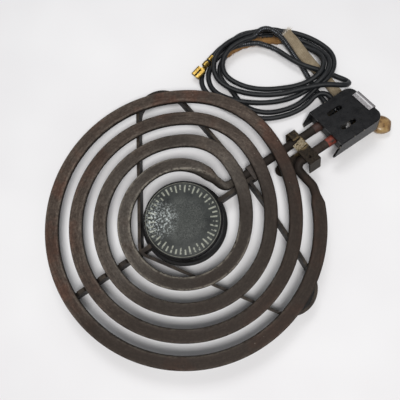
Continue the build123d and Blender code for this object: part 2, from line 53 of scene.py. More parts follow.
# Millimetres
LEAD_D = 3.9
SLEEVE_WIDE = 7.9
SLEEVE_HIGH = 4.8
SLEEVE_STARTS = 3.5              # how far along its route the sleeve's cut end is
SLEEVE_RUNS_ON = 12.6            # how far it covers the terminal past the route

# The oval that the loose turns of wire follow, in millimetres and degrees
OVAL_MIDDLE = (125.0, 66.0)
OVAL_TILT = -34.0
OVAL_LONG = 40.0
OVAL_SHORT = 23.5

INNER_TURN = 0.0433              # middle line of the coil's innermost turn
TURN_PITCH = 0.0175
CLIP_FOLD = (0.1597, 0.1605)     # along X, where the clip's painted highlight ends and its painted shade begins
BRIGHT_PLATE = (0.1020, 0.0010)  # the rubbed middle of the terminal bracket
SPARKLE_PATCH = (-0.0132, 0.0090)   # where the painted sparkle (small painted highlights) lies on the medallion
RIM_MARKS = 44
RIM_LINE = 0.0261                # radius where the medallion's face meets its black rim
MARKS_INSIDE = 0.0190            # radius where the long marks start
MARKS_OUTSIDE = 0.0243
SHORT_BY = 0.0018                # how much shorter every second mark is

# Threads of a weave: per metre along it, and around it
FINE_BRAID = (800, 5)
COARSE_BRAID = (330, 3)
SLEEVE_WEAVE = (1000, 10)

BARE_EDGE = 0.004                # how gradually the bare braid starts and ends
FRAY_YARNS = 170
FRAY_REACH = 0.0042
FRAY_YARN_R = 0.00016
FUZZ_FIBRES = 260
FUZZ_FIBRE_R = 0.00010
FIBRE_LOWEST = 0.0004
SLEEVE_WALL = 0.0004
SLEEVE_LOWEST = 0.0005
END_WALL = 0.0006
END_LOWEST = 0.0008

# Half of the opened sleeve end's size, in millimetres: closed, gained by opening, lost at its lip
END_WIDE = (3.9, 2.6, 2.9)
END_HIGH = (2.4, 1.2, 2.7)

BROWN_R = 0.0025
BROWN_LIFT = 0.0006              # how far the brown sleeve's middle lies above its wire's


def mm(*values):
    return Vector([v / 1000 for v in values])


def link(thing):
    bpy.context.scene.collection.objects.link(thing)
    return thing


def finished(name, built):
    """An object made from a bmesh, in the scene."""
    mesh = bpy.data.meshes.new(name)
    built.to_mesh(mesh)
    built.free()
    return link(bpy.data.objects.new(name, mesh))


# ---- camera, floor and light ---------------------------------------------------------------
def make_camera():
    right, up = Vector(CAMERA_RIGHT), Vector(CAMERA_UP)
    back = right.cross(up).normalized()
    up = back.cross(right).normalized()
    right.normalize()
    data = bpy.data.cameras.new("camera")
    data.lens = CAMERA_LENS
    data.sensor_width = CAMERA_SENSOR
    camera = link(bpy.data.objects.new("camera", data))
    turn = Matrix((right, up, back)).transposed().to_4x4()
    camera.matrix_world = Matrix.Translation(mm(*CAMERA_PLACE)) @ turn
    bpy.context.scene.camera = camera


def make_floor():
    """A plain pale sheet with a faint cloud of tone."""
    grid = bmesh.new()
    bmesh.ops.create_grid(grid, x_segments=80, y_segments=80, size=1.6)
    floor = finished("floor", grid)
    floor.location = (0, 0, -FLOOR_DROP)
    paint = Paint("floor_white", FLOOR_COLOUR, roughness=0.85)
    cloud = paint.noise(9, detail=2)
    tone = paint.ramp(cloud, [(0.3, (0.80, 0.79, 0.80)), (0.7, (0.86, 0.855, 0.86))])
    paint.set_colour(tone)
    paint.dress(floor)


def area_light(name, place, aim, size, power, colour):
    data = bpy.data.lights.new(name, "AREA")
    data.shape = "RECTANGLE"
    data.size, data.size_y = size
    data.energy = power
    data.color = colour
    lamp = link(bpy.data.objects.new(name, data))
    lamp.location = place
    lamp.rotation_euler = (Vector(aim) - Vector(place)).to_track_quat("-Z", "Y").to_euler()


def make_lights():
    """Soft light from all round, a small window and a larger lamp above the camera's side."""
    world = bpy.data.worlds.new("studio")
    world.use_nodes = True
    sky = world.node_tree.nodes["Background"]
    sky.inputs["Color"].default_value = (0.97, 0.98, 1.0, 1)
    sky.inputs["Strength"].default_value = 0.27
    bpy.context.scene.world = world
    bpy.context.scene.view_settings.view_transform = "Standard"
    area_light("window", place=(0.20, 0.37, 0.66), aim=(0.03, 0.03, 0), size=(0.30, 0.24),
               power=1.5, colour=(0.98, 0.99, 1.0))
    area_light("overhead", place=(-0.10, -0.26, 0.90), aim=(0, 0, 0), size=(0.34, 0.34),
               power=6.1, colour=(1.0, 0.99, 0.98))


# ---- materials -----------------------------------------------------------------------------
class Paint:
    """A procedural material whose patterns follow the object's own coordinates."""

    def __init__(self, name, colour, roughness=0.5, metallic=0.0, coat=0.0, specular=0.5):
        self.material = bpy.data.materials.new(name)
        self.material.use_nodes = True
        self.material.diffuse_color = (*colour, 1)
        self.tree = self.material.node_tree
        self.shader = self.tree.nodes["Principled BSDF"]
        self.shader.inputs["Base Color"].default_value = (*colour, 1)
        self.shader.inputs["Roughness"].default_value = roughness
        self.shader.inputs["Metallic"].default_value = metallic
        self.shader.inputs["Coat Weight"].default_value = coat
        self.shader.inputs["Specular IOR Level"].default_value = specular
        place = self.tree.nodes.new("ShaderNodeTexCoord")
        self.place = place.outputs["Object"]
        self.normal = place.outputs["Normal"]

    def add(self, kind, settings=None, **sockets):
        node = self.tree.nodes.new(kind)
        for key, value in (settings or {}).items():
            setattr(node, key, value)
        for key, value in sockets.items():
            self.plug(node.inputs[key.replace("_", " ")], value)
        return node

    def plug(self, socket, value):
        if isinstance(value, bpy.types.NodeSocket):
            self.tree.links.new(value, socket)
        elif isinstance(value, (tuple, list)) and len(value) == 3 and socket.type == "RGBA":
            socket.default_value = (*value, 1)
        else:
            socket.default_value = value

    # Patterns and masks
    def noise(self, scale, detail=4.0, rough=0.55, where=None, warp=0.0):
        node = self.add("ShaderNodeTexNoise", Vector=where or self.place, Scale=scale, Detail=detail,
                        Roughness=rough, Distortion=warp)
        return node.outputs["Fac"]

    def spots(self, scale):
        return self.add("ShaderNodeTexVoronoi", Vector=self.place, Scale=scale).outputs["Distance"]

    def math(self, operation, a, b=0.0):
        node = self.tree.nodes.new("ShaderNodeMath")
        node.operation = operation
        for socket, value in zip(node.inputs, (a, b)):
            self.plug(socket, value)
        return node.outputs[0]

    def product(self, first, *others):
        for other in others:
            first = self.math("MULTIPLY", first, other)
        return first

    def step(self, value, low, high):
        """0 at low, 1 at high, and a smooth change between."""
        node = self.add("ShaderNodeMapRange", {"interpolation_type": "SMOOTHSTEP"}, Value=value)
        node.inputs["From Min"].default_value = low
        node.inputs["From Max"].default_value = high
        return node.outputs["Result"]

    # Places
    def axis(self, vector, name):
        return self.add("ShaderNodeSeparateXYZ", Vector=vector).outputs[name]

    def upward(self):
        """1 on faces that look up, 0 on upright ones."""
        return self.axis(self.normal, "Z")

    def stretched(self, scale):
        node = self.add("ShaderNodeMapping", Vector=self.place)
        node.inputs["Scale"].default_value = scale
        return node.outputs["Vector"]

    def distance(self, x=0.0, y=0.0):
        """Distance from an upright line. With no place given, the line is the coil's axis."""
        east = self.math("SUBTRACT", self.axis(self.place, "X"), x)
        north = self.math("SUBTRACT", self.axis(self.place, "Y"), y)
        squares = self.math("ADD", self.product(east, east), self.product(north, north))
        return self.math("SQRT", squares)

    def across_turn(self, radius):
        """Distance from the middle line of the nearest turn of the coil."""
        step = self.math("DIVIDE", self.math("SUBTRACT", radius, INNER_TURN), TURN_PITCH)
        away = self.math("SUBTRACT", self.math("FRACT", self.math("ADD", step, 0.5)), 0.5)
        return self.product(self.math("ABSOLUTE", away), TURN_PITCH)

    def along_turns(self, radius):
        """A place whose patterns are drawn out around the coil's axis."""
        node = self.tree.nodes.new("ShaderNodeCombineXYZ")
        for name in "XY":
            around = self.math("DIVIDE", self.axis(self.place, name), radius)
            self.plug(node.inputs[name], self.product(around, 0.020))
        outward = self.math("ADD", self.axis(self.place, "Z"), self.product(radius, 1.7))
        self.plug(node.inputs["Z"], outward)
        return node.outputs[0]

    # Colours
    def ramp(self, value, stops):
        node = self.add("ShaderNodeValToRGB", Fac=value)
        bar = node.color_ramp.elements
        while len(bar) < len(stops):
            bar.new(0.5)
        for element, (at, colour) in zip(bar, stops):
            element.position = at
            element.color = (*colour, 1)
        return node.outputs["Color"]

    def mix(self, share, a, b):
        node = self.tree.nodes.new("ShaderNodeMix")
        node.data_type = "RGBA"
        self.plug(node.inputs["Factor"], share)
        self.plug(node.inputs["A"], a)
        self.plug(node.inputs["B"], b)
        return node.outputs["Result"]

    def layer(self, below, mask, amount, colour):
        """A colour over another, as far as the mask and the amount let it show."""
        return self.mix(self.product(mask, amount), below, colour)

    # What the shader gets
    def set_colour(self, colour):
        self.plug(self.shader.inputs["Base Color"], colour)

    def set_roughness(self, value, low, high):
        node = self.add("ShaderNodeMapRange", Value=value)
        node.inputs["To Min"].default_value = low
        node.inputs["To Max"].default_value = high
        self.plug(self.shader.inputs["Roughness"], node.outputs["Result"])

    def set_metallic(self, value):
        self.plug(self.shader.inputs["Metallic"], value)

    def bump(self, height, distance, strength):
        node = self.add("ShaderNodeBump", Height=height, Distance=distance, Strength=strength)
        self.plug(self.shader.inputs["Normal"], node.outputs["Normal"])

    def dress(self, *objects):
        for o in objects:
            o.data.materials.clear()
            o.data.materials.append(self.material)
            for face in o.data.polygons:
                face.material_index = 0


def corner_mask(paint):
    """1 on the rounded upper corners of a piece, 0 on its flat top and upright sides."""
    up = paint.upward()
    return paint.product(paint.step(up, 0.25, 0.6), paint.step(up, 0.97, 0.8))


def sheath_tones(paint, radius, texture, broad):
    """Brown-black grime, redder on the outer turns and greyer towards the middle."""
    grime = paint.ramp(texture, [(0.32, (0.030, 0.022, 0.018)), (0.50, (0.076, 0.058, 0.047)),
                                 (0.68, (0.165, 0.132, 0.106))])
    rust = paint.ramp(texture, [(0.32, (0.046, 0.022, 0.016)), (0.66, (0.170, 0.084, 0.058))])
    grey = paint.ramp(texture, [(0.32, (0.042, 0.039, 0.034)), (0.68, (0.180, 0.168, 0.148))])
    rusty = paint.product(paint.step(broad, 0.48, 0.64), paint.step(radius, 0.060, 0.092))
    greyed = paint.product(paint.step(radius, 0.085, 0.045), paint.step(broad, 0.3, 0.55))
    colour = paint.layer(grime, rusty, 0.7, rust)
    return paint.layer(colour, greyed, 0.55, grey)


def sheath_patches_and_painted_shade(paint, colour):
    """Darker patches, most of them on the -Y side, where the extra darkening is painted shade, and dark
    legs.
    """
    # painted shade: the sheath is made darker towards -Y, on top of its random dark patches
    painted_shade_side = paint.product(paint.step(paint.axis(paint.place, "Y"), 0.03, -0.08), 0.60)
    dim = paint.step(paint.math("ADD", paint.noise(17, detail=3), painted_shade_side), 0.42, 0.80)
    colour = paint.layer(colour, dim, 0.75, (0.024, 0.018, 0.015))
    legs = paint.step(paint.axis(paint.place, "Z"), 0.0140, 0.0115)
    return paint.layer(colour, legs, 0.85, (0.019, 0.016, 0.014))


def sheath_wear_and_painted_light(paint, radius, texture, colour):
    """Pale edges of the turns, the innermost turn's most of all: partly worn by pans, partly a painted
    highlight on their rounded edges. Painted shade darkens the middle of each turn.
    """
    across = paint.across_turn(radius)
    innermost = paint.product(paint.step(radius, 0.052, 0.044), 0.62)
    # the pale edges are partly wear and partly a painted highlight
    worn = paint.product(paint.step(texture, 0.40, 0.56), paint.math("ADD", innermost, 0.12))
    pale_and_lit_edge = paint.product(paint.step(across, 0.0029, 0.0043), worn)
    full_turns = paint.product(paint.step(radius, 0.0370, 0.0388),
                               paint.step(paint.axis(paint.place, "X"), 0.040, 0.026))
    colour = paint.layer(colour, pale_and_lit_edge, full_turns, (0.33, 0.30, 0.25))
    inner_end = paint.step(radius, 0.0400, 0.0370)
    colour = paint.layer(colour, inner_end, 0.80, (0.014, 0.012, 0.010))
    # painted shade along the middle of each turn's rounded top
    middle = paint.step(across, 0.0036, 0.0014)
    return paint.layer(colour, middle, 0.26, (0.018, 0.014, 0.011))


def sheath_soot_shade_and_specks(paint, broad, colour):
    """Black upright sides, partly soot and partly painted shade, and a few pale specks."""
    # painted shade, partly soot: upright faces are made nearly black
    soot_and_side_shade = paint.step(paint.upward(), 0.70, 0.15)
    colour = paint.layer(colour, soot_and_side_shade, 0.85, (0.008, 0.007, 0.006))
    specks = paint.product(paint.step(paint.spots(190), 0.075, 0.045), paint.step(broad, 0.52, 0.62))
    return paint.layer(colour, specks, 0.7, (0.26, 0.23, 0.19))


def sheath_paint():
    """The oxidised sheath, finely streaked along its turns."""
    paint = Paint("oxidised_sheath", (0.08, 0.06, 0.05), metallic=0.05, specular=0.07)
    radius = paint.distance()
    broad = paint.noise(38, detail=5, rough=0.6)
    streak = paint.noise(620, detail=6, rough=0.62, where=paint.along_turns(radius))
    mottle = paint.noise(620, detail=6, rough=0.72)
    texture = paint.math("ADD", paint.product(streak, 0.45), paint.product(mottle, 0.55))
    colour = sheath_tones(paint, radius, texture, broad)
    colour = sheath_patches_and_painted_shade(paint, colour)
    colour = sheath_wear_and_painted_light(paint, radius, texture, colour)
    paint.set_colour(sheath_soot_shade_and_specks(paint, broad, colour))
    paint.set_roughness(texture, 0.40, 0.68)
    fine = paint.math("ADD", paint.noise(1500, detail=3), paint.product(streak, 1.5))
    paint.bump(fine, 0.00006, 0.7)
    return paint


def support_paint():
    """Strip and bar: dark heat-stained steel with brown, worn edges; the brown on their upward faces is
    partly painted light.
    """
    paint = Paint("stained_strip", (0.05, 0.04, 0.035), metallic=0.2, specular=0.2)
    mottle = paint.noise(260, detail=6, rough=0.65)
    colour = paint.ramp(mottle, [(0.3, (0.009, 0.007, 0.006)), (0.6, (0.026, 0.020, 0.016)),
                                 (0.8, (0.055, 0.042, 0.033))])
    # partly painted light: upward faces are made lighter brown in patches, partly as wear
    rubbed_and_lit = paint.product(paint.step(paint.upward(), 0.6, 0.9),
                           paint.step(paint.noise(90, detail=4), 0.42, 0.6))
    paint.set_colour(paint.layer(colour, rubbed_and_lit, 0.26, (0.11, 0.085, 0.06)))
    paint.set_roughness(mottle, 0.42, 0.75)
    paint.bump(paint.noise(1400, detail=3), 0.00008, 0.7)
    return paint


def rim_marks(paint, radius):
    """1 on the plain band of short marks around the medallion's face, worn off in places."""
    angle = paint.math("ARCTAN2", paint.axis(paint.place, "Y"), paint.axis(paint.place, "X"))
    turn = paint.product(angle, RIM_MARKS / (2 * math.pi))
    near = paint.math("ABSOLUTE", paint.math("SUBTRACT", paint.math("FRACT", turn), 0.5))
    every_second = paint.math("FLOORED_MODULO", paint.math("FLOOR", turn), 2.0)
    shorter = paint.product(paint.step(every_second, 0.4, 0.6), SHORT_BY)
    inside = paint.math("GREATER_THAN", radius, paint.math("ADD", shorter, MARKS_INSIDE))
    outside = paint.math("LESS_THAN", radius, MARKS_OUTSIDE)
    top = paint.step(paint.upward(), 0.85, 0.95)
    left = paint.step(paint.noise(480, detail=5), 0.36, 0.52)
    return paint.product(paint.step(near, 0.20, 0.15), inside, outside, top, left)


def cap_paint():
    """Olive-grey enamel, finely worn, with a black rim, pale rim marks and a patch of painted sparkle:
    small painted highlights on a grainy surface.
    """
    paint = Paint("enamel_cap", (0.03, 0.034, 0.036), coat=0.15, specular=0.4)
    radius = paint.distance()
    cloud = paint.noise(130, detail=6, rough=0.65)
    grain = paint.noise(1700, detail=4, rough=0.7)
    colour = paint.ramp(cloud, [(0.3, (0.008, 0.010, 0.010)), (0.7, (0.040, 0.044, 0.040))])
    dull = paint.product(paint.step(radius, 0.0185, 0.0120), paint.step(grain, 0.42, 0.60))
    colour = paint.layer(colour, dull, 0.55, (0.115, 0.122, 0.112))
    rim = paint.step(radius, RIM_LINE - 0.0003, RIM_LINE + 0.0003)
    colour = paint.mix(rim, colour, (0.006, 0.006, 0.007))
    colour = paint.layer(colour, rim_marks(paint, radius), 0.85, (0.33, 0.34, 0.28))
    # painted highlights: a sparkle of bright grains in one patch
    patch = paint.product(paint.step(paint.distance(*SPARKLE_PATCH), 0.0160, 0.0020),
                          paint.step(cloud, 0.30, 0.50))
    glint = paint.product(paint.step(paint.noise(820, detail=5, rough=0.75), 0.50, 0.60), patch)
    paint.set_colour(paint.layer(colour, glint, 0.85, (0.66, 0.72, 0.71)))
    paint.set_roughness(paint.math("ADD", glint, paint.product(grain, 0.3)), 0.22, 0.50)
    ripple = paint.math("ADD", paint.product(paint.noise(900, detail=4), patch),
                        paint.product(paint.noise(320, detail=3), 0.22))
    paint.bump(ripple, 0.00030, 0.8)
    return paint


def plain_paint(name, dark, light, roughness, metallic, coat=0.0):
    """A surface of two close tones with fine grain."""
    paint = Paint(name, light, metallic=metallic, coat=coat)
    cloud = paint.noise(700, detail=5, rough=0.6)
    paint.set_colour(paint.ramp(cloud, [(0.3, dark), (0.7, light)]))
    paint.set_roughness(cloud, roughness - 0.08, roughness + 0.1)
    paint.bump(paint.noise(2100, detail=3), 0.00005, 0.6)
    return paint


def cover_paint():
    """Black stove finish, smooth and slightly dusty, chipped at the corners."""
    paint = Paint("black_cover", (0.010, 0.010, 0.011), specular=0.25)
    dust = paint.noise(210, detail=6, rough=0.65)
    colour = paint.ramp(dust, [(0.35, (0.005, 0.005, 0.006)), (0.7, (0.014, 0.014, 0.015)),
                               (0.85, (0.040, 0.038, 0.035))])
    chips = paint.product(paint.step(paint.noise(520, detail=3), 0.60, 0.66), corner_mask(paint))
    paint.set_colour(paint.mix(chips, colour, (0.30, 0.27, 0.22)))
    paint.set_roughness(dust, 0.20, 0.36)
    paint.bump(paint.noise(900, detail=3), 0.00002, 0.4)
    return paint


def bracket_paint():
    """Brass-plated sheet, burnt black and brown but for its bright middle and its edges; the pale edges
    are partly bare brass and partly a painted highlight.
    """
    paint = Paint("burnt_plate", (0.30, 0.22, 0.11), specular=0.10)
    stain = paint.noise(190, detail=6, rough=0.7, warp=1.4)
    fine = paint.noise(900, detail=5, rough=0.7)
    plated = paint.ramp(fine, [(0.3, (0.10, 0.066, 0.028)), (0.6, (0.32, 0.235, 0.12)),
                               (0.8, (0.66, 0.56, 0.38))])
    burnt = paint.ramp(fine, [(0.3, (0.004, 0.003, 0.002)), (0.7, (0.026, 0.017, 0.010))])
    bright = paint.product(paint.step(paint.distance(*BRIGHT_PLATE), 0.0068, 0.0030),
                           paint.step(stain, 0.62, 0.50))
    colour = paint.mix(bright, burnt, plated)
    patina = paint.product(paint.step(stain, 0.52, 0.42),
                           paint.step(paint.axis(paint.place, "Y"), -0.004, 0.004))
    colour = paint.layer(colour, patina, 0.22, plated)
    # painted highlight, with bare brass: the rounded upper edges are made pale
    pale_and_lit_edge = paint.product(corner_mask(paint), paint.step(fine, 0.42, 0.52))
    paint.set_colour(paint.layer(colour, pale_and_lit_edge, 0.6, (0.70, 0.60, 0.42)))
    paint.set_metallic(paint.product(bright, 0.75))
    paint.set_roughness(fine, 0.28, 0.6)
    paint.bump(fine, 0.0001, 0.7)
    return paint


def brass_paint():
    """Bright stamped brass with faint tarnish."""
    paint = Paint("terminal_brass", (0.80, 0.58, 0.20), metallic=1.0)
    tarnish = paint.noise(330, detail=5, rough=0.6)
    paint.set_colour(paint.ramp(tarnish, [(0.3, (0.11, 0.060, 0.012)), (0.52, (0.36, 0.240, 0.060)),
                                          (0.75, (0.66, 0.50, 0.19))]))
    paint.set_roughness(tarnish, 0.24, 0.46)
    paint.bump(paint.noise(1800, detail=2), 0.00004, 0.6)
    return paint


def clip_paint():
    """Bright rolled strip with lengthwise streaks, a painted highlight along its top and painted shade
    on its far side.
    """
    paint = Paint("bright_clip", (0.72, 0.68, 0.70), metallic=1.0)
    streak = paint.noise(320, detail=4, where=paint.stretched((6.0, 0.5, 6.0)))
    colour = paint.ramp(streak, [(0.3, (0.30, 0.285, 0.29)), (0.7, (0.58, 0.555, 0.56))])
    x = paint.axis(paint.place, "X")
    falls, shaded = CLIP_FOLD
    # painted shade on the far side, and a painted highlight just before it
    colour = paint.layer(colour, paint.step(x, falls, shaded), 0.6, (0.20, 0.185, 0.19))
    crest_highlight = paint.product(paint.step(x, falls - 0.0010, falls), paint.step(x, shaded, falls))
    paint.set_colour(paint.mix(crest_highlight, colour, (0.90, 0.88, 0.88)))
    paint.set_roughness(streak, 0.36, 0.52)
    paint.bump(streak, 0.00005, 0.5)
    return paint


def seal_paint(name, deep, bright):
    """A fired end seal, charred in patches."""
    paint = Paint(name, bright, roughness=0.6)
    cloud = paint.noise(600, detail=5)
    char = paint.step(paint.noise(220, detail=3), 0.55, 0.7)
    colour = paint.ramp(cloud, [(0.3, deep), (0.7, bright)])
    paint.set_colour(paint.mix(char, colour, (0.03, 0.015, 0.01)))
    paint.bump(cloud, 0.0001, 0.7)
    return paint


def weave(paint, per_metre, around):
    """Two sets of threads crossing on a tube whose UVs are metres along it and turns around it."""
    places = paint.add("ShaderNodeUVMap").outputs["UV"]
    u = paint.product(paint.axis(places, "X"), per_metre * 2 * math.pi)
    v = paint.product(paint.axis(places, "Y"), around * 2 * math.pi)
    one = paint.math("SINE", paint.math("ADD", u, v))
    two = paint.math("SINE", paint.math("SUBTRACT", u, v))
    return paint.product(one, two)


def lead_paint(name, bare_from, bare_to):
    """Black varnished braid; between two distances along it the varnish is gone and pale flecks show."""
    paint = Paint(name, (0.010, 0.011, 0.012), specular=0.3)
    along = paint.axis(paint.add("ShaderNodeUVMap").outputs["UV"], "X")
    bare = paint.product(paint.step(along, bare_from, bare_from + BARE_EDGE),
                         paint.step(along, bare_to, bare_to - BARE_EDGE))
    fine, coarse = weave(paint, *FINE_BRAID), weave(paint, *COARSE_BRAID)
    dust = paint.noise(240, detail=5, rough=0.6)
    colour = paint.ramp(dust, [(0.35, (0.004, 0.005, 0.006)), (0.7, (0.013, 0.014, 0.016)),
                               (0.9, (0.045, 0.046, 0.048))])
    colour = paint.layer(colour, paint.step(fine, 0.2, 0.9), 0.25, (0.032, 0.035, 0.036))
    fleck = paint.product(paint.step(coarse, 0.35, 0.75), paint.step(paint.noise(700), 0.42, 0.55))
    paint.set_colour(paint.layer(colour, paint.product(fleck, bare), 0.8, (0.20, 0.22, 0.26)))
    paint.set_roughness(dust, 0.34, 0.56)
    paint.bump(paint.math("ADD", fine, paint.product(coarse, bare, 3.0)), 0.00008, 0.6)
    return paint


def sleeve_paint(name, dark, light):
    """Woven glass sleeving: a crossed weave in close tones, soiled in patches."""
    paint = Paint(name, light, roughness=0.85)
    threads = weave(paint, *SLEEVE_WEAVE)
    soil = paint.noise(120, detail=5, rough=0.6)
    yarn = paint.noise(900, detail=3, where=paint.stretched((1.0, 1.0, 3.0)))
    tone = paint.math("ADD", paint.product(soil, 0.6), paint.product(yarn, 0.4))
    colour = paint.ramp(tone, [(0.35, dark), (0.62, light)])
    paint.set_colour(paint.layer(colour, paint.step(threads, 0.7, -0.2), 0.35, dark))
    paint.bump(threads, 0.00014, 0.8)
    return paint


def varnished_paint():
    """The opened end of the sleeve, varnished brown over the tan weave."""
    paint = Paint("varnished_end", (0.30, 0.17, 0.08), coat=0.3)
    soil = paint.noise(150, detail=5, rough=0.65)
    paint.set_colour(paint.ramp(soil, [(0.35, (0.070, 0.032, 0.012)), (0.5, (0.27, 0.155, 0.055)),
                                       (0.72, (0.43, 0.30, 0.13))]))
    paint.set_roughness(soil, 0.26, 0.5)
    paint.bump(paint.noise(700, detail=4), 0.00012, 0.7)
    return paint


# ---- routes of the leads, in millimetres ----------------------------------------------------
LEAD_A_OUT = [
    (141.9, 1.7, 5.8), (141.9, 7.75, 4.1), (142.0, 24.0, 2.2), (143.0, 37.0, 2.2),
    (145.0, 50.0, 2.2), (146.4, 62.0, 2.2), (146.0, 71.0, 4.2), (144.8, 78.6, 8.0),
]
LEAD_A_HUMP = [
    (142.4, 85.0, 11.4), (138.4, 92.0, 13.2), (131.6, 94.4, 13.2), (125.6, 91.8, 12.4),
]
LEAD_A_LOOP = [
    (88.8, 68.0, 2.2), (88.2, 56.6, 2.2), (92.8, 45.2, 2.2), (102.0, 36.6, 2.2),
    (114.0, 31.6, 2.2), (125.0, 29.6, 2.4), (134.6, 31.0, 3.2), (143.4, 32.0, 7.0),
    (154.4, 32.8, 8.8), (164.2, 38.2, 7.8), (170.8, 49.0, 4.0),
]
LEAD_A_END = [
    (109.6, 101.2, 6.6), (102.4, 102.2, 6.6), (95.6, 101.0, 6.6), (89.4, 98.8, 6.6), (82.3, 96.9, 6.6),
]
LEAD_B_OUT = [
    (147.1, -13.0, 10.3), (147.1, -1.0, 6.9), (147.1, 7.9, 3.9), (147.2, 16.0, 4.8), (145.8, 23.8, 6.6),
    (139.2, 27.8, 6.4), (129.0, 25.4, 2.8), (118.0, 26.0, 2.2), (106.5, 29.4, 2.2),
    (95.5, 35.0, 2.2), (84.8, 46.0, 2.2), (76.6, 60.0, 2.2), (71.2, 76.0, 2.2), (72.0, 89.0, 2.2),
]
LEAD_B_LOOP = [
    (129.0, 86.6, 6.5), (135.6, 77.0, 6.3), (139.2, 66.0, 6.4), (143.2, 55.0, 7.0),
    (149.4, 45.6, 7.6), (155.8, 38.8, 6.0), (161.6, 32.2, 2.6), (166.0, 25.0, 3.0),
    (164.6, 19.6, 7.4), (157.4, 20.8, 11.2), (147.4, 28.6, 12.0), (138.0, 33.0, 11.8),
    (128.6, 37.2, 11.0),
]
LEAD_B_TO_SLEEVE = [(132.4, 96.0, 8.8), (141.2, 92.6, 7.8)]
SLEEVE = [
    (148.6, 85.4, 7.6), (150.6, 77.0, 7.4), (151.0, 68.5, 6.2), (151.8, 57.0, 2.8),
    (153.6, 43.0, 2.5), (154.3, 28.0, 2.5), (153.4, 13.0, 2.9), (152.9, 1.5, 3.4),
    (154.0, -9.5, 3.7), (160.6, -15.4, 3.7),
]

# Loose turns: (angle around the oval clockwise from its left end, how far outside it, height)
TURNS_A_FIRST = [
    (-58, 1.2, 10.8), (-40, 0.9, 10.8), (-20, 0.0, 10.0), (0, -0.6, 7.6), (20, -1.2, 6.6),
    (40, -2.8, 5.6), (60, -3.8, 4.6), (101, -5.0, 5.0), (135, -2.2, 8.8), (158, -1.0, 11.6),
    (180, -1.0, 11.6), (195, -0.2, 9.2), (210, 0.6, 4.6), (230, 1.2, 2.2), (255, 0.6, 2.2),
    (280, 0.8, 2.2), (310, 1.2, 2.2), (340, 1.6, 2.2), (360, 1.6, 2.2), (380, 2.6, 2.2),
]
TURNS_A_LAST = [(-140, 10.2, 2.2), (-110, 10.0, 2.2), (-80, 9.6, 3.0), (-60, 9.2, 6.2)]
TURNS_B_FIRST = [
    (8, 13.0, 2.2), (30, 9.2, 2.2), (50, 7.0, 2.2), (70, 5.4, 2.2), (100, 5.2, 2.2),
    (130, 5.0, 2.2), (150, 4.6, 3.4), (165, 4.2, 7.6), (180, 3.8, 11.4), (200, 3.2, 12.0),
    (222, 2.2, 9.2), (236, 3.0, 6.6), (250, 5.0, 6.4), (285, 8.2, 6.4), (305, 11.4, 6.6),
    (335, 14.6, 2.4), (355, 11.0, 2.4), (370, 8.0, 2.4), (385, 4.8, 5.0), (405, 1.4, 6.6),
    (430, -1.8, 6.6),
]
TURNS_B_LAST = [
    (256, 1.2, 9.0), (290, 1.8, 6.8), (320, 4.4, 6.6), (340, 6.6, 6.8), (360, 6.6, 9.2),
    (375, 6.2, 11.0), (405, 5.6, 10.6), (425, 5.6, 9.6),
]
TURN_STEP = 20.0                # degrees

# Distances along the leads, in metres
A_BARE = (0.040, 0.108)         # where lead a's braid is bare
B_BARE = (0.440, 0.475)
BROWN_SLEEVE = (0.282, 0.330)   # on lead a


def between(keys, at):
    """The values at one angle, taken between the keys on both sides of it."""
    for low, high in zip(keys, keys[1:]):
        if at <= high[0] + 1e-6:
            share = (at - low[0]) / (high[0] - low[0])
            return [a + (b - a) * share for a, b in zip(low[1:], high[1:])]
    return list(keys[-1][1:])


def turns(keys, clockwise=True):
    """Points along loose turns around the oval, one every TURN_STEP degrees or so."""
    first, last = keys[0][0], keys[-1][0]
    count = round((last - first) / TURN_STEP)
    tilt = math.radians(OVAL_TILT)
    points = []
    for i in range(count + 1):
        at = first + (last - first) * i / count
        outside, height = between(keys, at)
        angle = math.radians(180 - at if clockwise else 180 + at)
        x = (OVAL_LONG + outside) * math.cos(angle)
        y = (OVAL_SHORT + outside) * math.sin(angle)
        points.append((
            OVAL_MIDDLE[0] + x * math.cos(tilt) - y * math.sin(tilt),
            OVAL_MIDDLE[1] + x * math.sin(tilt) + y * math.cos(tilt),
            height,
        ))
    return points


LEAD_A = (LEAD_A_OUT + LEAD_A_HUMP + turns(TURNS_A_FIRST, clockwise=False) + LEAD_A_LOOP
          + turns(TURNS_A_LAST, clockwise=False) + LEAD_A_END)
LEAD_B = (LEAD_B_OUT + turns(TURNS_B_FIRST) + LEAD_B_LOOP + turns(TURNS_B_LAST)
          + LEAD_B_TO_SLEEVE + SLEEVE)


# ---- lines and tubes -----------------------------------------------------------------------
def route_curve(points):
    """A curve with no bevel, on one NURBS spline with the route's points as its control points."""
    data = bpy.data.curves.new("line", "CURVE")
    data.dimensions = "3D"
    data.resolution_u = 24
    spline = data.splines.new("NURBS")
    spline.points.add(len(points) - 1)
    for point, place in zip(spline.points, points):
        point.co = (*mm(*place), 1)
    spline.order_u = 3
    spline.use_endpoint_u = True
    return link(bpy.data.objects.new("line", data))


def route_line(points):
    """The places along a route's spline, in order."""
    curve = route_curve(points)
    mesh = bpy.data.meshes.new_from_object(curve)
    line = [v.co.copy() for v in mesh.vertices]
    bpy.data.objects.remove(curve)
    bpy.data.meshes.remove(mesh)
    return line


def distances_along(line):
    distances = [0.0]
    for a, b in zip(line, line[1:]):
        distances.append(distances[-1] + (b - a).length)
    return distances


def stretch_of(line, first, last):
    """The part of a line between two distances along it."""
    return [place for place, at in zip(line, distances_along(line)) if first <= at <= last]


def run_on(line, length, steps=20):
    """The line carried straight on past its end."""
    ahead = (line[-1] - line[-4]).normalized()
    return line + [line[-1] + ahead * length * (i + 1) / steps for i in range(steps)]


def across(ahead):
    """The sideways and the upward direction of something that heads a given way."""
    side = ahead.cross(Vector((0, 0, 1))).normalized()
    return side, side.cross(ahead)


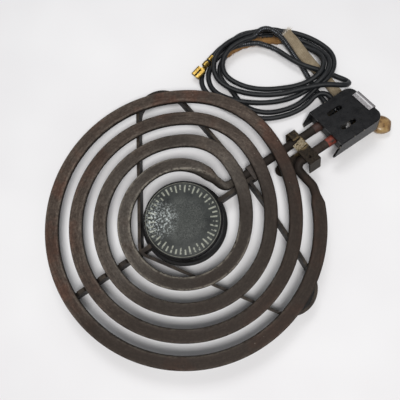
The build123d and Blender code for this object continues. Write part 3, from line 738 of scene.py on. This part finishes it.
def heading_at(line, i):
    return (line[min(i + 1, len(line) - 1)] - line[max(i - 1, 0)]).normalized()


def make_tube(name, line, section, sides, caps=False, lowest=0.0):
    """A mesh tube along a line, kept above a lowest height.

    section(share, distance, angle) gives how far it reaches sideways and upward.
    """
    built = bmesh.new()
    layer = built.loops.layers.uv.new("UVMap")
    distances = distances_along(line)
    rings = []
    for i, (centre, distance) in enumerate(zip(line, distances)):
        side, up = across(heading_at(line, i))
        ring = []
        for k in range(sides):
            out, above = section(distance / distances[-1], distance, 2 * math.pi * k / sides)
            place = centre + side * out + up * above
            place.z = max(place.z, lowest)
            ring.append(built.verts.new(place))
        rings.append(ring)
    for i in range(len(rings) - 1):
        for k in range(sides):
            skin_face(built, layer, rings, distances, i, k)
    if caps:
        built.faces.new(list(reversed(rings[0])))
        built.faces.new(rings[-1])
    return finished(name, built)


def skin_face(built, layer, rings, distances, i, k):
    """One face of a tube, with UVs in metres along the tube and turns around it."""
    sides = len(rings[i])
    n = (k + 1) % sides
    face = built.faces.new((rings[i][k], rings[i][n], rings[i + 1][n], rings[i + 1][k]))
    face.smooth = True
    places = ((i, k), (i, k + 1), (i + 1, k + 1), (i + 1, k))
    for loop, (row, column) in zip(face.loops, places):
        loop[layer].uv = (distances[row], column / sides)


def give_wall(tube, thickness):
    wall = tube.modifiers.new("wall", "SOLIDIFY")
    wall.thickness = thickness


def waves(source_number, low, high, count=4):
    """A slow irregular ripple: a function of distance, from about -1 to 1."""
    source = random.Random(source_number)
    parts = [(source.uniform(low, high), source.uniform(0, 6.28)) for _ in range(count)]
    return lambda distance: sum(math.sin(f * distance + p) for f, p in parts) / count * 1.6


# ---- leads and sleeves ---------------------------------------------------------------------
def make_leads():
    """Both leads as round tubes whose UVs run along them, for the weave."""
    made = []
    radius = LEAD_D / 2000

    def section(share, distance, angle):
        return radius * math.cos(angle), radius * math.sin(angle)

    routes = (("lead_a", LEAD_A, A_BARE), ("lead_b", LEAD_B, B_BARE))
    for name, points, bare in routes:
        line = route_line(points)
        piece = make_tube(name, line, section, sides=14, caps=True)
        lead_paint(f"{name}_braid", *bare).dress(piece)
        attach(piece, "receptacle")
        made.append((piece, line))
    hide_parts("lead_a_run", "lead_a_loop", "lead_a_tail", "lead_coil")
    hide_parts("lead_b_run", "lead_b_loop", "lead_b_tail", "lead_coil")
    return made


def make_sleeve(paint):
    """The tan sleeve: flattened by its own slackness, cut ragged at its start."""
    line = stretch_of(route_line(SLEEVE), SLEEVE_STARTS / 1000, 1.0)
    wide, high = SLEEVE_WIDE / 2000, SLEEVE_HIGH / 2000
    ripple = waves(3, 90, 420)

    def section(share, distance, angle):
        slack = 1 + 0.06 * ripple(distance)
        mouth = 1 + 0.22 * max(0.0, 1 - share / 0.03)
        pinch = 1 - 0.10 * min(1.0, max(0.0, (share - 0.85) / 0.1))
        return (wide * slack * mouth * pinch * math.cos(angle),
                high * mouth / slack * math.sin(angle))

    sleeve = make_tube("tan_sleeve", line, section, sides=28, lowest=SLEEVE_LOWEST)
    give_wall(sleeve, SLEEVE_WALL)
    paint.dress(sleeve)
    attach(sleeve, "receptacle")
    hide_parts("sleeve_tan")
    return sleeve, line


def make_sleeve_end(paint, line):
    """The sleeve's far end, opened out over the terminal and drawn in again at its lip."""
    path = run_on(line[-6:], SLEEVE_RUNS_ON / 1000)
    ripple = waves(11, 300, 900)

    def reach(sizes, open_out, lip):
        closed, gained, lost = sizes
        return (closed + gained * open_out - lost * lip * lip) / 1000

    def section(share, distance, angle):
        open_out = min(1.0, max(0.0, share / 0.55))
        open_out = open_out * open_out * (3 - 2 * open_out)
        lip = max(0.0, (share - 0.60) / 0.40)
        wide = reach(END_WIDE, open_out, lip) * (1 + 0.03 * ripple(distance))
        high = reach(END_HIGH, open_out, lip) * (1 + 0.04 * ripple(distance + 0.4))
        curl = 0.0006 * math.sin(2 * angle + 0.7) * open_out
        return wide * math.cos(angle), high * math.sin(angle) + curl * (1 - lip)

    end = make_tube("sleeve_end", path, section, sides=30, lowest=END_LOWEST)
    give_wall(end, END_WALL)
    paint.dress(end)
    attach(end, "receptacle")
    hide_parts("sleeve_tan")
    return end


def make_brown_sleeve(paint, line):
    """A short fuzzy brown sleeve on one strand, lying a little above its wire."""
    path = [place + Vector((0, 0, BROWN_LIFT)) for place in stretch_of(line, *BROWN_SLEEVE)]
    ripple, bulge = waves(5, 200, 900), waves(8, 500, 1600, 6)

    def section(share, distance, angle):
        taper = min(1.0, share / 0.06, (1 - share) / 0.06) * 0.25 + 0.75
        rough = 1 + 0.10 * bulge(distance + angle * 0.002)
        wide = BROWN_R * taper * rough * (1 + 0.06 * ripple(distance))
        high = (BROWN_R + 0.0001) * taper * rough
        return wide * math.cos(angle), high * math.sin(angle)

    sleeve = make_tube("brown_sleeve", path, section, sides=22, caps=True)
    paint.dress(sleeve)
    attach(sleeve, "receptacle")
    return sleeve, path


def fibre(built, start, ahead, length, thickness, source, droop):
    """One thin three-sided fibre that wanders as it goes."""
    place, heading = start.copy(), ahead.normalized()
    rows = []
    steps = 5
    for i in range(steps + 1):
        side = heading.orthogonal().normalized()
        other = heading.cross(side)
        size = thickness * (1 - 0.5 * i / steps)
        rows.append([built.verts.new(place + side * size * math.cos(a) + other * size * math.sin(a))
                     for a in (0.0, 2.094, 4.189)])
        wander = Vector([source.gauss(0, 0.30) for _ in range(3)])
        heading = (heading + wander + Vector((0, 0, -droop))).normalized()
        place = place + heading * length / steps
        place.z = max(place.z, FIBRE_LOWEST)
    for low, high in zip(rows, rows[1:]):
        for k in range(3):
            built.faces.new((low[k], low[(k + 1) % 3], high[(k + 1) % 3], high[k]))


def make_fuzz(path, paint):
    """Fine fibres standing off the upper half of the brown sleeve."""
    source = random.Random(13)
    built = bmesh.new()
    for _ in range(FUZZ_FIBRES):
        i = source.randrange(1, len(path) - 1)
        ahead = heading_at(path, i)
        side, up = across(ahead)
        angle = source.uniform(0, math.pi)
        out = side * math.cos(angle) + up * math.sin(angle)
        heading = out * 0.5 + ahead * source.choice((-1, 1)) * source.uniform(0.4, 1.2)
        length = source.uniform(0.0012, 0.0032)
        fibre(built, path[i] + out * BROWN_R * 0.97, heading, length, FUZZ_FIBRE_R, source, droop=0.0)
    fuzz = finished("brown_fuzz", built)
    paint.dress(fuzz)
    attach(fuzz, "receptacle")
    return fuzz


def make_fray(line, paint):
    """The loose ends of the tan sleeve's yarns, fanned around its cut end."""
    source = random.Random(7)
    out = (line[0] - line[4]).normalized()
    side, up = across(out)
    wide, high = SLEEVE_WIDE / 2000, SLEEVE_HIGH / 2000
    built = bmesh.new()
    for _ in range(FRAY_YARNS):
        angle = source.uniform(0, 2 * math.pi)
        rim = side * math.cos(angle) * wide + up * math.sin(angle) * high
        start = line[0] + rim - out * source.uniform(0, 0.0015)
        heading = out + rim.normalized() * source.uniform(0.1, 0.9)
        length = FRAY_REACH * source.uniform(0.4, 1.0)
        fibre(built, start, heading, length, FRAY_YARN_R, source, droop=0.04)
    fray = finished("sleeve_fray", built)
    paint.dress(fray)
    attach(fray, "receptacle")
    return fray


# ---- dressing the CAD nodes ----------------------------------------------------------------
def dress_element():
    sheath_paint().dress(NODES["heating_coil"])
    support_paint().dress(NODES["support_hoop"], NODES["main_bar"])
    clamp = plain_paint("browned_clamp", (0.016, 0.011, 0.008), (0.052, 0.037, 0.028), 0.55, 0.2)
    clamp.dress(NODES["leg_clamp"])
    bracket_paint().dress(NODES["terminal_bracket"])
    cap_paint().dress(NODES["medallion_cap"])
    line = plain_paint("pale_line", (0.08, 0.08, 0.065), (0.22, 0.22, 0.18), 0.45, 0.0)
    line.dress(NODES["medallion_inlay"])
    drum = plain_paint("satin_black", (0.004, 0.004, 0.004), (0.015, 0.014, 0.014), 0.36, 0.0, coat=0.2)
    drum.dress(NODES["medallion_drum"])
    steel = plain_paint("plain_steel", (0.22, 0.21, 0.20), (0.42, 0.41, 0.39), 0.4, 1.0)
    steel.dress(NODES["medallion_saddle"], NODES["saddle_rivets"], NODES["medallion_screw"],
                NODES["insulator_screws"])
    seal_paint("red_seal", (0.10, 0.018, 0.012), (0.28, 0.050, 0.028)).dress(NODES["end_seal_outer"])
    seal_paint("dark_seal", (0.022, 0.010, 0.008), (0.060, 0.024, 0.016)).dress(NODES["end_seal_inner"])
    pins = plain_paint("pin_metal", (0.25, 0.22, 0.18), (0.52, 0.47, 0.39), 0.35, 1.0)
    pins.dress(NODES["pin_inner"], NODES["pin_outer"])


def dress_receptacle():
    cover_paint().dress(NODES["cover_shell"])
    block = plain_paint("moulded_black", (0.006, 0.006, 0.006), (0.022, 0.021, 0.020), 0.55, 0.0)
    block.dress(NODES["insulator_block"])
    brass_paint().dress(NODES["contact_inner"], NODES["contact_outer"],
                        NODES["quick_connect_a"], NODES["quick_connect_b"])
    clip_paint().dress(NODES["cover_clip"])


make_camera()
(lead_a, line_a), (lead_b, line_b) = make_leads()
tan = sleeve_paint("tan_weave", (0.17, 0.125, 0.075), (0.40, 0.33, 0.225))
rust = sleeve_paint("rust_fibre", (0.14, 0.065, 0.018), (0.46, 0.25, 0.085))
pale_yarn = plain_paint("pale_yarn", (0.42, 0.36, 0.28), (0.78, 0.72, 0.62), 0.9, 0.0)
sleeve, sleeve_line = make_sleeve(tan)
sleeve_end = make_sleeve_end(varnished_paint(), sleeve_line)
fray = make_fray(sleeve_line, pale_yarn)
brown, brown_line = make_brown_sleeve(rust, line_a)
fuzz = make_fuzz(brown_line, rust)

dress_element()
dress_receptacle()
make_floor()
make_lights()
